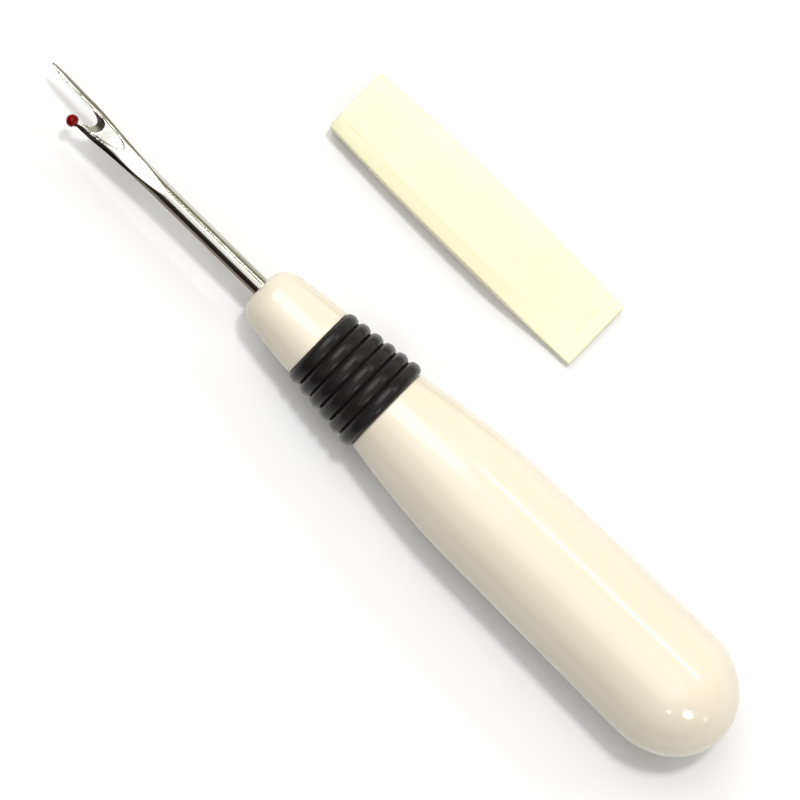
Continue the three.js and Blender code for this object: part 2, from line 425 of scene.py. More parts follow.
class SurfaceEffects:
    """Builds each shared effect once and places it in materials."""

    def __init__(self) -> None:
        """Builds the four groups."""
        self._made = {
            GroupName.GRAIN: self._grain(),
            GroupName.HANDLING: self._handling(),
            GroupName.HAIRLINES: self._hairlines(),
            GroupName.TINT: self._tint(),
        }

    def place(self, graph: Graph, name: GroupName, inputs: dict[str, object]) -> bpy.types.Node:
        """Puts one effect into a material.

        Args:
            graph: The material's nodes.
            name: Which effect.
            inputs: Its inputs by name.

        Returns:
            The group node.
        """
        return graph.add("ShaderNodeGroup", inputs, node_tree=self._made[name])

    @staticmethod
    def _start(
        name: GroupName, inputs: Sequence[tuple], outputs: Sequence[tuple]
    ) -> tuple[Graph, bpy.types.Node, bpy.types.Node]:
        """Makes an empty group with its sockets, and its input and output nodes."""
        tree = bpy.data.node_groups.new(name.value, "ShaderNodeTree")
        for label, kind, default in inputs:
            socket = tree.interface.new_socket(name=label, in_out="INPUT", socket_type=kind)
            socket.default_value = default
        for label, kind in outputs:
            tree.interface.new_socket(name=label, in_out="OUTPUT", socket_type=kind)
        graph = Graph(tree)
        return graph, graph.add("NodeGroupInput"), graph.add("NodeGroupOutput")

    def _grain(self) -> bpy.types.NodeTree:
        """Noise on the piece's own coordinates, stretched along its axes, as a height."""
        inputs = (
            ("Scale", "NodeSocketFloat", 800.0),
            ("Stretch", "NodeSocketVector", (1.0, 1.0, 1.0)),
            ("Detail", "NodeSocketFloat", 2.0),
        )
        graph, given, result = self._start(GroupName.GRAIN, inputs, (("Height", "NodeSocketFloat"),))
        where = graph.on_piece()
        placed = graph.add("ShaderNodeMapping", {"Vector": where, "Scale": given.outputs["Stretch"]})
        noise = graph.add(
            "ShaderNodeTexNoise",
            {
                "Vector": placed.outputs[0],
                "Scale": given.outputs["Scale"],
                "Detail": given.outputs["Detail"],
            },
        )
        graph.tree.links.new(noise.outputs[0], result.inputs["Height"])
        return graph.tree

    def _handling(self) -> bpy.types.NodeTree:
        """Broad smudges from fingers, and sparse specks of dust, each as a mask."""
        inputs = (("Smudge size", "NodeSocketFloat", 90.0), ("Speck size", "NodeSocketFloat", 1500.0))
        outputs = (("Smudge", "NodeSocketFloat"), ("Dust", "NodeSocketFloat"))
        graph, given, result = self._start(GroupName.HANDLING, inputs, outputs)
        where = graph.on_piece()
        broad = graph.add(
            "ShaderNodeTexNoise",
            {"Vector": where, "Scale": given.outputs["Smudge size"], "Detail": 4.0, "Distortion": 0.6},
        )
        graph.tree.links.new(graph.spread(broad.outputs[0], 0.42, 0.68, 0.0, 1.0), result.inputs["Smudge"])
        cells = graph.add("ShaderNodeTexVoronoi", {"Vector": where, "Scale": given.outputs["Speck size"]})
        speck = graph.spread(cells.outputs["Distance"], 0.10, 0.16, 1.0, 0.0)
        patchy = graph.add("ShaderNodeTexNoise", {"Vector": where, "Scale": 420.0, "Detail": 1.0})
        dust = graph.math("MULTIPLY", speck, graph.spread(patchy.outputs[0], 0.55, 0.70, 0.0, 1.0))
        graph.tree.links.new(dust, result.inputs["Dust"])
        return graph.tree

    def _hairlines(self) -> bpy.types.NodeTree:
        """Thin, broken lines in two directions: noise squeezed across and cut to its crests."""
        inputs = (("Scale", "NodeSocketFloat", 160.0), ("Crest", "NodeSocketFloat", 0.66))
        graph, given, result = self._start(GroupName.HAIRLINES, inputs, (("Mask", "NodeSocketFloat"),))
        where = graph.on_piece()
        lines = []
        for turn, squeeze in ((0.5, 14.0), (-0.9, 18.0)):
            placed = graph.add(
                "ShaderNodeMapping",
                {"Vector": where, "Rotation": (0.0, 0.3, turn), "Scale": (1.0, squeeze, squeeze)},
            )
            noise = graph.add(
                "ShaderNodeTexNoise",
                {"Vector": placed.outputs[0], "Scale": given.outputs["Scale"], "Detail": 1.0},
            )
            above = graph.math("SUBTRACT", noise.outputs[0], given.outputs["Crest"])
            lines.append(graph.spread(above, 0.0, 0.03, 0.0, 1.0))
        graph.tree.links.new(graph.math("MAXIMUM", *lines), result.inputs["Mask"])
        return graph.tree

    def _tint(self) -> bpy.types.NodeTree:
        """A colour that drifts between two tones over a stated distance."""
        inputs = (
            ("Tone", "NodeSocketColor", (0.8, 0.8, 0.8, 1.0)),
            ("Other tone", "NodeSocketColor", (0.7, 0.7, 0.7, 1.0)),
            ("Scale", "NodeSocketFloat", 40.0),
        )
        graph, given, result = self._start(GroupName.TINT, inputs, (("Colour", "NodeSocketColor"),))
        where = graph.on_piece()
        noise = graph.add(
            "ShaderNodeTexNoise", {"Vector": where, "Scale": given.outputs["Scale"], "Detail": 3.0}
        )
        share = graph.spread(noise.outputs[0], 0.35, 0.65, 0.0, 1.0)
        graph.tree.links.new(
            graph.mix(share, given.outputs["Tone"], given.outputs["Other tone"]), result.inputs["Colour"]
        )
        return graph.tree


def new_material(name: str) -> tuple[bpy.types.Material, Graph, bpy.types.Node]:
    """Starts a node material.

    Args:
        name: The material's name.

    Returns:
        The material, its nodes, and its Principled shader already joined to the output.
    """
    material = bpy.data.materials.new(name)
    material.use_nodes = True
    material.node_tree.nodes.clear()
    graph = Graph(material.node_tree)
    shader = graph.add("ShaderNodeBsdfPrincipled")
    graph.add("ShaderNodeOutputMaterial", {"Surface": shader.outputs[0]})
    return material, graph, shader


def feed(graph: Graph, shader: bpy.types.Node, sockets: dict[str, object]) -> None:
    """Sets or links the shader's sockets, named with underscores for spaces."""
    for name, value in sockets.items():
        graph.join(value, shader.inputs[name.replace("_", " ")])


class Finish:
    """A surface; each kind says what feeds its shader."""

    NAME = ""

    def sockets(self, graph: Graph, effects: SurfaceEffects) -> dict[str, object]:
        """What feeds the shader, by socket name; each finish gives its own."""
        raise NotImplementedError

    def material(self, effects: SurfaceEffects) -> bpy.types.Material:
        """Builds the material.

        Args:
            effects: The shared effects.

        Returns:
            The finished material.
        """
        material, graph, shader = new_material(self.NAME)
        feed(graph, shader, self.sockets(graph, effects))
        return material


@dataclass(frozen=True)
class IvoryPlastic(Finish):
    """Glossy moulded plastic, warm white, faintly uneven in tone and polish."""

    tone: Tone = (0.715, 0.665, 0.535, 1.0)
    other_tone: Tone = (0.70, 0.645, 0.515, 1.0)
    polish: float = 0.15
    smudged: float = 0.22

    NAME = "ivory_plastic"

    def sockets(self, graph: Graph, effects: SurfaceEffects) -> dict[str, object]:
        """Drifting tone with a little dust, smudged polish, hairlines and a faint ripple."""
        tint = effects.place(
            graph, GroupName.TINT, {"Tone": self.tone, "Other tone": self.other_tone, "Scale": 55.0}
        )
        marks = effects.place(graph, GroupName.HANDLING, {"Smudge size": 70.0, "Speck size": 1300.0})
        lines = effects.place(graph, GroupName.HAIRLINES, {"Scale": 110.0, "Crest": 0.70})
        ripple = effects.place(graph, GroupName.GRAIN, {"Scale": 120.0, "Stretch": (0.25, 1.0, 1.0)})
        dusty = graph.math("MULTIPLY", marks.outputs["Dust"], 0.10)
        colour = graph.mix(dusty, tint.outputs["Colour"], (0.55, 0.52, 0.46, 1.0))
        rough = graph.spread(marks.outputs["Smudge"], 0.0, 1.0, self.polish, self.smudged)
        rough = graph.math("ADD", rough, graph.math("MULTIPLY", lines.outputs["Mask"], 0.06))
        scratched = graph.math("MULTIPLY", lines.outputs["Mask"], -0.03)
        height = graph.math("ADD", ripple.outputs["Height"], scratched)
        return dict(
            Base_Color=colour,
            Roughness=rough,
            Normal=graph.bump(height, 0.25, 0.00004),
            Subsurface_Weight=0.10,
            Subsurface_Radius=(0.0016, 0.0012, 0.0008),
            Subsurface_Scale=1.0,
            IOR=1.5,
            Coat_Weight=0.25,
            Coat_Roughness=0.10,
        )


@dataclass(frozen=True)
class BlackRubber(Finish):
    """Black rubber with a soft sheen, a little dust in it and a fine skin."""

    tone: Tone = (0.012, 0.0105, 0.011, 1.0)
    dusty_tone: Tone = (0.030, 0.028, 0.026, 1.0)

    NAME = "black_rubber"

    def sockets(self, graph: Graph, effects: SurfaceEffects) -> dict[str, object]:
        """Dust and smudges lighten the tone, and fine grain raises the skin."""
        marks = effects.place(graph, GroupName.HANDLING, {"Smudge size": 260.0, "Speck size": 2200.0})
        skin = effects.place(graph, GroupName.GRAIN, {"Scale": 5200.0, "Detail": 3.0})
        smudged = graph.math("MULTIPLY", marks.outputs["Smudge"], 0.25)
        share = graph.math("ADD", smudged, marks.outputs["Dust"])
        colour = graph.mix(share, self.tone, self.dusty_tone)
        rough = graph.spread(marks.outputs["Smudge"], 0.0, 1.0, 0.22, 0.32)
        normal = graph.bump(skin.outputs["Height"], 0.3, 0.00003)
        return dict(Base_Color=colour, Roughness=rough, Normal=normal, IOR=1.28)


@dataclass(frozen=True)
class BrightSteel(Finish):
    """Bright drawn wire, ground and dulled in places.

    The mesh's mark is 1 on ground faces, which have finer cross lines, and 0 on the wire. It is below 0
    where painted shade darkens the wire brown along its side away from the long point, in place of a
    dark reflection.
    where the wire's skin is dulled and brown.
    """

    tone: Tone = (0.62, 0.61, 0.565, 1.0)
    ground_tone: Tone = (0.90, 0.90, 0.87, 1.0)
    # Painted shade: dark brown for the wire's side away from the long point, standing in for a dark
    # reflection.
    painted_shade_tone: Tone = (0.16, 0.125, 0.09, 1.0)

    NAME = "bright_steel"

    def sockets(self, graph: Graph, effects: SurfaceEffects) -> dict[str, object]:
        """Drawn lines on the wire, wheel lines where it is ground, and brown painted shade on one side."""
        mark = graph.add("ShaderNodeAttribute", attribute_name=MARK).outputs["Fac"]
        ground = graph.spread(mark, 0.0, 1.0, 0.0, 1.0)
        # Painted shade: the part of the mark below 0.
        painted_shade = graph.spread(mark, 0.0, -1.0, 0.0, 1.0)
        drawn, wheel = (
            effects.place(graph, GroupName.GRAIN, {"Scale": scale, "Stretch": stretch, "Detail": 3.0})
            for scale, stretch in ((1800.0, (0.03, 1.0, 1.0)), (2600.0, (1.0, 0.05, 1.0)))
        )
        marks = effects.place(graph, GroupName.HANDLING, {"Smudge size": 300.0, "Speck size": 3000.0})
        lines = graph.add(
            "ShaderNodeMix", {"Factor": ground, 2: drawn.outputs["Height"], 3: wheel.outputs["Height"]}
        ).outputs[0]
        colour = graph.mix(ground, self.tone, self.ground_tone)
        patches = {"Scale": 700.0, "Stretch": (0.12, 1.0, 1.0), "Detail": 3.0}
        patchy = effects.place(graph, GroupName.GRAIN, patches)
        uneven = graph.spread(patchy.outputs["Height"], 0.25, 0.60, 0.75, 1.0)
        # Painted shade: patchy dark brown on that side of the wire.
        painted_shade = graph.math("MULTIPLY", painted_shade, uneven)
        colour = graph.mix(painted_shade, colour, self.painted_shade_tone)
        rough = graph.spread(marks.outputs["Smudge"], 0.0, 1.0, 0.14, 0.22)
        rough = graph.math("ADD", rough, graph.math("MULTIPLY", ground, 0.03))
        normal = graph.bump(lines, 0.09, 0.00001)
        return dict(Base_Color=colour, Roughness=rough, Metallic=1.0, Normal=normal)


@dataclass(frozen=True)
class RedBead(Finish):
    """Deep red glossy plastic with a slightly uneven depth of colour."""

    tone: Tone = (0.19, 0.001, 0.003, 1.0)
    other_tone: Tone = (0.12, 0.0008, 0.002, 1.0)

    NAME = "red_bead"

    def sockets(self, graph: Graph, effects: SurfaceEffects) -> dict[str, object]:
        """Drifting tone, smudged polish and a faint skin."""
        tint = effects.place(
            graph, GroupName.TINT, {"Tone": self.tone, "Other tone": self.other_tone, "Scale": 900.0}
        )
        skin = effects.place(graph, GroupName.GRAIN, {"Scale": 1500.0})
        marks = effects.place(graph, GroupName.HANDLING, {"Smudge size": 500.0, "Speck size": 4000.0})
        rough = graph.spread(marks.outputs["Smudge"], 0.0, 1.0, 0.07, 0.16)
        return dict(
            Base_Color=tint.outputs["Colour"],
            Roughness=rough,
            Normal=graph.bump(skin.outputs["Height"], 0.15, 0.00002),
            IOR=1.42,
            Specular_IOR_Level=0.2,
        )


@dataclass(frozen=True)
class SoftVinyl(Finish):
    """Soft pale yellow vinyl with light scattered under a satin, faintly wavy skin."""

    tone: Tone = (0.80, 0.785, 0.58, 1.0)
    other_tone: Tone = (0.79, 0.77, 0.545, 1.0)

    NAME = "soft_vinyl"

    def sockets(self, graph: Graph, effects: SurfaceEffects) -> dict[str, object]:
        """Drifting tone, satin smudges, broad waves and a fine skin."""
        tint = effects.place(
            graph, GroupName.TINT, {"Tone": self.tone, "Other tone": self.other_tone, "Scale": 90.0}
        )
        marks = effects.place(graph, GroupName.HANDLING, {"Smudge size": 150.0, "Speck size": 1700.0})
        wave = effects.place(graph, GroupName.GRAIN, {"Scale": 260.0, "Stretch": (0.4, 1.0, 1.0)})
        skin = effects.place(graph, GroupName.GRAIN, {"Scale": 3800.0})
        rough = graph.spread(marks.outputs["Smudge"], 0.0, 1.0, 0.32, 0.46)
        fine = graph.math("MULTIPLY", skin.outputs["Height"], 0.12)
        height = graph.math("ADD", wave.outputs["Height"], fine)
        return dict(
            Base_Color=tint.outputs["Colour"],
            Roughness=rough,
            Normal=graph.bump(height, 0.35, 0.00012),
            Subsurface_Weight=0.35,
            Subsurface_Radius=(0.0008, 0.0008, 0.0005),
            Subsurface_Scale=1.0,
            IOR=1.46,
        )


def dress(
    piece: bpy.types.Object, material: bpy.types.Material, slot: Slot, body: Body, node: str
) -> None:
    """Gives a piece its finish, its body and the CAD node that it stands for.

    Args:
        piece: The finished mesh.
        material: Its finish.
        slot: The record's slot for it; not used.
        body: The body that it moves with.
        node: The CAD node that it replaces.
    """
    piece.data.materials.append(material)
    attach(piece, body.value)
    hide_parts(node)
    log.info("%s: %d faces, on %s, stands for %s", piece.name, len(piece.data.polygons), body.value, node)


# Blade and bead


@dataclass(frozen=True)
class Blade:
    """One steel wire: tang, round stem, flats, and a fork with a sharpened throat.

    Each face is a height over the plane of the fork, and the other face mirrors it.
    """

    stem_radius: float = 1.5
    tang_end: float = 78.0
    flat_half: float = 1.05
    flat_start: float = 16.0
    flat_end: float = 26.0
    point_half: float = 0.30
    throat_station: float = 10.9
    throat_side: float = 0.12
    short_end: float = 8.4
    land_depth: float = 0.05
    long_edge: tuple = (
        (0.0, 2.26), (0.35, 2.36), (1.4, 2.43), (4.4, 2.45), (8.8, 2.30), (11.8, 2.12), (14.7, 1.85),
        (17.7, 1.62), (22.0, 1.5),
    )
    short_edge: tuple = ((8.4, 2.12), (9.1, 2.10), (11.8, 2.02), (14.7, 1.80), (17.7, 1.60), (22.0, 1.5))
    long_inside: tuple = (
        (0.0, 2.06), (1.0, 1.80), (2.4, 1.52), (5.0, 1.30), (7.8, 1.27), (9.1, 1.25), (9.8, 1.12),
        (10.5, 0.80), (10.9, 0.12),
    )
    short_inside: tuple = ((8.4, -1.60), (9.14, -1.27), (10.03, -0.86), (10.6, -0.42), (10.9, 0.12))
    fork_section: float = 1.3
    fork_breadth: tuple = ((0.0, 1.75), (7.5, 1.70), (10.5, 0.90), (12.0, 0.76), (16.0, 0.80), (23.0, 1.0))
    fork_fall: tuple = ((0.0, 1.0), (7.5, 1.0), (11.0, 0.62), (17.0, 0.62), (24.0, 1.0))
    short_side_breadth: float = 1.6
    closing_share: float = 0.999999
    oval_rim: Span = (0.05, -0.08)
    groove_depth: float = 0.14
    groove_half_width: float = 0.09
    oval_centre: Span = (9.5, 0.11)
    oval_drift: float = 0.026
    oval_half: Span = (6.85, 1.45)
    oval_spread: float = 0.06
    edge_half: tuple = (
        (0.0, 0.0), (1.0, 0.05), (8.65, 0.05), (9.3, 0.22), (10.1, 0.36), (10.5, 0.18), (10.75, 0.06),
        (10.9, 0.05),
    )
    crest_rounding: float = 0.10
    bevel_width: tuple = (
        (0.0, 0.12), (2.5, 0.24), (5.0, 0.42), (6.8, 0.42), (8.65, 0.32), (9.5, 0.34), (10.1, 0.52),
        (10.5, 0.90), (10.75, 1.18), (10.9, 1.28),
    )
    half_columns: int = 40
    point_length: float = 0.5
    run_out_rise: float = 0.5
    round_ease: Span = (4.0, 3.0)
    thinnest: float = 0.05
    broader_span: Span = (8.4, 11.0)
    land_rounding: float = 0.04
    ground_depth: Span = (0.02, 0.12)
    ground_reach: Span = (1.3, 0.9)
    # Painted shade: where across and along the wire the mark darkens its side away from the long point, in
    # place of a dark reflection.
    painted_shade_across: Span = (0.25, 0.75)
    painted_shade_along: Span = (9.0, 15.0)
    root_length: float = 2.4
    root_end: float = 15.0
    oval_rows_end: float = 17.2

    def _run(self, end: float, knots: Sequence[tuple[float, float]], rows: int) -> tuple[Array, Array]:
        """Stations and sides of one edge of the throat, from its bottom to a prong's end.

        Args:
            end: Station of the prong's end.
            knots: (station, side) of the edge.
            rows: Number of points.

        Returns:
            Station = throat - length t^2 for even t, so the round bottom gets close rows, and the
            side is a smooth curve in t.
        """
        length = self.throat_station - end
        t = np.linspace(0.0, 1.0, rows)
        in_t = sorted((math.sqrt((self.throat_station - s) / length), side) for s, side in knots)
        return self.throat_station - length * t * t, through(in_t, t)

    def _throat(self) -> Array:
        """(points, 2) line of the throat's sharp edge, long prong to short prong."""
        long_s, long_y = self._run(0.0, self.long_inside, 260)
        short_s, short_y = self._run(self.short_end, self.short_inside, 120)
        return np.vstack([np.stack([long_s, long_y], 1)[::-1], np.stack([short_s, short_y], 1)])

    def _height(self, station: Array, side: Array) -> tuple[Array, Array]:
        """Height of the upper face, and how far each point is ground.

        Args:
            station: Stations.
            side: Sides.

        Returns:
            The lower of the rounded wire e sqrt(1 - f (over / r)^p), the flat, the shallow oval
            land with a groove round it, and the bevel that rises from the throat's edge; and the
            mark. The power p goes from a pressed edge on the fork to 2, a circle, on the stem, and
            the fall f is below 1 where the fork's outer edge keeps some thickness.
        """
        long_w, short_w = through(self.long_edge, station), through(self.short_edge, station)
        centre, half = (long_w - short_w) / 2, (long_w + short_w) / 2
        taper = np.clip(station / self.flat_start, 0.0, 1.0)
        flat = self.point_half + (self.flat_half - self.point_half) * taper
        flat = flat * np.sqrt(np.clip(station / self.point_length, 0.0, 1.0))
        run_out = np.clip((station - self.flat_start) / (self.flat_end - self.flat_start), 0.0, None)
        flat = flat + self.run_out_rise * run_out**2
        edge = np.where(station > self.flat_end, self.stem_radius, 0.0)
        before, after = self.round_ease
        ease = smoothstep(self.flat_start - before, self.flat_end - after, station)
        thick = np.maximum(flat, self.thinnest)
        edge = np.maximum(edge, ease * self.stem_radius + (1 - ease) * thick)
        power = self.fork_section + (2.0 - self.fork_section) * ease
        reach = edge * through(self.fork_breadth, station)
        near_throat = smoothstep(*self.broader_span, station)
        broader = 1.0 + (self.short_side_breadth - 1.0) * (1 - ease) * near_throat
        reach = reach * np.where(side < centre, broader, 1.0)
        over = np.clip(np.abs(side - centre) - (half - reach), 0.0, reach)
        fall = through(self.fork_fall, station)
        wire = edge * np.sqrt(np.clip(1.0 - fall * (over / reach) ** power, 0.0, None))
        outside = self._outside_oval(station, side)
        oval = smoothstep(*self.oval_rim, outside)
        groove = self.groove_depth * np.exp(-((outside / self.groove_half_width) ** 2))
        surface = lower_of(wire, flat - self.land_depth * oval - groove, self.land_rounding)
        bevel, off = self._bevel(station, side, flat - self.land_depth)
        ground = smoothstep(*self.ground_depth, wire - flat)
        ground = np.maximum(ground, smoothstep(*self.ground_reach, off))
        # Painted shade: behind the throat, on the wire's side away from the long point, the mark goes below
        # 0, so the finish paints that side dark brown in place of a dark reflection.
        painted_shade = smoothstep(*self.painted_shade_across, (centre - side) / half)
        painted_shade = painted_shade * smoothstep(*self.painted_shade_along, station)
        ground = ground - painted_shade * (1.0 - ground)
        height = np.minimum(lower_of(surface, bevel, self.crest_rounding), bevel)
        closed = over >= reach * self.closing_share
        return np.where(closed, 0.0, np.clip(height, 0.0, None)), ground

    def _outside_oval(self, station: Array, side: Array) -> Array:
        """Distance outside the oval behind the throat, below 0 inside it.

        Args:
            station: Stations.
            side: Sides.

        Returns:
            (m - 1) m / g, where m is the place as a share of the oval's half length and half
            breadth, and g is how fast m m / 2 changes; the oval's middle drifts with station, and in
            front of its centre it runs on along the prongs, a little broader.
        """
        behind = station - self.oval_centre[0]
        across = side - self.oval_centre[1] - self.oval_drift * behind
        length, breadth = self.oval_half
        breadth = breadth - self.oval_spread * np.clip(behind, None, 0.0)
        behind = np.clip(behind, 0.0, None)
        rim = np.hypot(behind / length, across / breadth)
        change = np.hypot(behind / length**2, across / breadth**2)
        return (rim - 1.0) * rim / np.clip(change, 0.05, None)

    def _bevel(self, station: Array, side: Array, top: Array) -> tuple[Array, Array]:
        """Height of the bevel, in a straight line from the sharp edge up to the land.

        Args:
            station: Stations.
            side: Sides.
            top: Height of the land.

        Returns:
            The bevel's height, and the distance from the edge as a share of the bevel's width. The
            width, and the half thickness that the edge keeps, go by the nearest point of the edge.
        """
        edge = self._throat()
        where = np.stack([station, side], -1).reshape(-1, 1, 2)
        nearest = np.concatenate(
            [np.linalg.norm(part - edge[None], axis=-1).argmin(1) for part in np.array_split(where, 60)]
        )
        away = np.linalg.norm(where[:, 0] - edge[nearest], axis=-1).reshape(station.shape)
        from_station = edge[nearest, 0].reshape(station.shape)
        share = away / through(self.bevel_width, from_station)
        edge_half = through(self.edge_half, from_station)
        return edge_half + (top - edge_half) * share, share

    def _across(self, outer: Array, inner: Array) -> Array:
        """Grid of sides from the outer edge to the inner one, closer together at both."""
        share = (1 - np.cos(np.linspace(0.0, np.pi, self.half_columns + 1))) / 2
        return outer[:, None] + (inner - outer)[:, None] * share[None, :]

    def _faces(self, shell: Shell, axis: ToolAxis, station: Array, side: Array, flat_end: bool) -> None:
        """Adds a stretch of the upper face and its mirror, closed at its far end if asked."""
        height, ground = self._height(station, side)
        if flat_end:
            centre = side[-1].mean()
            station = np.vstack([station, station[-1:]])
            side = np.vstack([side, np.full_like(side[-1:], centre)])
            height = np.vstack([height, np.zeros_like(height[-1:])])
            ground = np.vstack([ground, ground[-1:]])
        for way in (1.0, -1.0):
            shell.patch(axis.place(station, side, way * height), ground)

    def build(self, axis: ToolAxis) -> bpy.types.Object:
        """Makes the blade as one closed mesh.

        Args:
            axis: The tool's axis.

        Returns:
            The blade.
        """
        shell = Shell()
        prongs = (
            (0.0, self.long_inside, self.long_edge, 1.0, 240),
            (self.short_end, self.short_inside, self.short_edge, -1.0, 110),
        )
        for end, inside, outside, way, rows in prongs:
            station, inner = self._run(end, inside, rows)
            side = self._across(way * through(outside, station), inner)
            self._faces(shell, axis, station[:, None] + 0 * side, side, end > 0)
            wall = self._height(station, inner)[0]
            rim = wall[:, None] * np.array([1.0, -1.0])[None, :]
            shell.patch(axis.place(station[:, None] + 0 * rim, inner[:, None] + 0 * rim, rim))
        self._rear(shell, axis)
        return shell.build("seam_blade", 30.0)

    def _rear(self, shell: Shell, axis: ToolAxis) -> None:
        """Adds the blade behind the throat: fork root, flats, stem and tang."""
        near = self.throat_station + self.root_length * np.linspace(0.0, 1.0, 70) ** 1.5
        oval_end = np.arange(near[-1] + 0.05, self.oval_rows_end, 0.05)
        middle = np.arange(self.oval_rows_end, self.flat_end + 1.0, 0.12)
        far = np.linspace(middle[-1] + 0.8, self.tang_end, 56)
        station = np.concatenate([near, oval_end, middle, far])
        centre = self.throat_side * (1 - smoothstep(self.throat_station, self.root_end, station))
        long_half = self._across(through(self.long_edge, station), centre)
        short_half = self._across(-through(self.short_edge, station), centre)
        side = np.hstack([long_half, short_half[:, ::-1][:, 1:]])
        self._faces(shell, axis, station[:, None] + 0 * side, side, True)


@dataclass(frozen=True)
class PointBead:
    """The red bead: a ball drawn out behind into a short sleeve on the prong."""

    radius: float = 0.96
    station: float = 8.0
    side: float = -1.88
    sleeve_radius: float = 0.38
    sleeve_end: float = 1.0

    def build(self, axis: ToolAxis) -> bpy.types.Object:
        """Makes the bead by turning its outline about a line beside the axis.

        Args:
            axis: The tool's axis.

        Returns:
            The bead.
        """
        angle = np.linspace(0.0, 0.72 * np.pi, 30)
        ball = np.stack([-self.radius * np.cos(angle), self.radius * np.sin(angle)], 1)
        last = ball[-1]
        control, start = (last[0] + 0.08, self.sleeve_radius), (last[0] + 0.22, self.sleeve_radius)
        fillet = bend(last, control, start, 8)[1:]
        end = np.array([
            [self.sleeve_end, self.sleeve_radius - 0.03],
            [self.sleeve_end + 0.02, 0.30],
            [self.sleeve_end - 0.02, 0.0],
        ])
        outline = np.vstack([ball, fillet, end]) + np.array([self.station, 0.0])
        shell = Shell()
        shell.patch(axis.revolve(outline, 64, self.side))
        return shell.build("point_bead", 50.0)


# Handle


@dataclass(frozen=True)
class HandleSizes:
    """Sizes that the handle's pieces share."""

    nose_front: float = 45.1
    nose_face_radius: float = 2.3
    nose_round: Span = (3.9, 5.2)
    nose_radius: float = 6.1
    neck_front: float = 56.85
    neck_front_radius: float = 4.2
    neck_rear_radius: float = 5.1
    plug_end: float = 84.0
    bore_radius: float = 1.62
    tang_end: float = 78.3
    body_front: float = 70.75
    body_front_radius: float = 7.2
    swell_station: float = 83.5
    barrel_start: Span = (91.5, 9.5)
    barrel_end: Span = (127.5, 10.1)
    length: float = 140.0
    butt_length: float = 11.4
    socket_radius: float = 5.25
    socket_end: float = 86.0
    core_radius: float = 4.6
    core_end: float = 122.0
    sides: int = 192


@dataclass(frozen=True)
class NoseCollar:
    """The ivory nose, with the neck that carries the rings and the plug that closes the body."""

    sizes: HandleSizes = HandleSizes()

    def build(self, axis: ToolAxis) -> bpy.types.Object:
        """Makes the collar by turning its outline: bore, domed nose, neck, plug.

        Args:
            axis: The tool's axis.

        Returns:
            The collar.
        """
        z = self.sizes
        face = (z.nose_front, z.nose_face_radius)
        shoulder = (z.nose_front + z.nose_round[0], z.nose_round[1])
        bore = filleted(
            [(z.tang_end, 0.0, 0.0), (z.tang_end, z.bore_radius, 0.1), (z.nose_front, z.bore_radius, 0.18),
             (*face, 0.0)], 5,
        )
        dome = quarter_ellipse(face, shoulder, 28, True)
        flare = bend(shoulder, (53.0, 5.85), (z.neck_front - 0.35, z.nose_radius), 24)[1:]
        neck = filleted(
            [(z.neck_front - 0.35, z.nose_radius, 0.0), (z.neck_front, z.nose_radius - 0.05, 0.18),
             (z.neck_front, z.neck_front_radius, 0.3), (z.body_front, z.neck_rear_radius, 0.2),
             (z.plug_end - 1.0, z.neck_rear_radius, 0.3), (z.plug_end, z.neck_rear_radius - 0.8, 0.3),
             (z.plug_end, 0.0, 0.0)], 6,
        )[1:]
        shell = Shell()
        shell.patch(axis.revolve(np.vstack([bore, dome, flare, neck]), z.sides))
        return shell.build("nose", 50.0)


@dataclass(frozen=True)
class HandleBody:
    """The ivory shell: swelling front, slightly conical barrel, round butt, blind socket."""

    sizes: HandleSizes = HandleSizes()

    def build(self, axis: ToolAxis) -> bpy.types.Object:
        """Makes the body by turning its outline: socket, front lip, swell, barrel, butt.

        Args:
            axis: The tool's axis.

        Returns:
            The body.
        """
        z = self.sizes
        slope = (z.barrel_end[1] - z.barrel_start[1]) / (z.barrel_end[0] - z.barrel_start[0])
        swell = (z.swell_station, z.barrel_start[1] + (z.swell_station - z.barrel_start[0]) * slope)
        lip = (z.body_front + 0.5, z.body_front_radius + 0.08)
        inside = filleted(
            [(z.core_end, 0.0, 0.0), (z.core_end, z.core_radius, 1.5), (z.socket_end, z.core_radius, 0.2),
             (z.socket_end, z.socket_radius, 0.2), (z.body_front, z.socket_radius, 0.25),
             (z.body_front, z.body_front_radius, 0.4), (*lip, 0.0)], 6,
        )
        front = bend(lip, swell, z.barrel_start, 48)[1:]
        barrel = np.linspace(z.barrel_start, z.barrel_end, 24)[1:]
        butt_start = (z.length - z.butt_length, z.barrel_end[1])
        butt = quarter_ellipse(butt_start, (z.length, 0.0), 56, False)
        shell = Shell()
        outline = np.vstack([inside, front, barrel, [butt_start], butt])
        shell.patch(axis.revolve(outline, z.sides))
        return shell.build("handle_shell", 50.0)


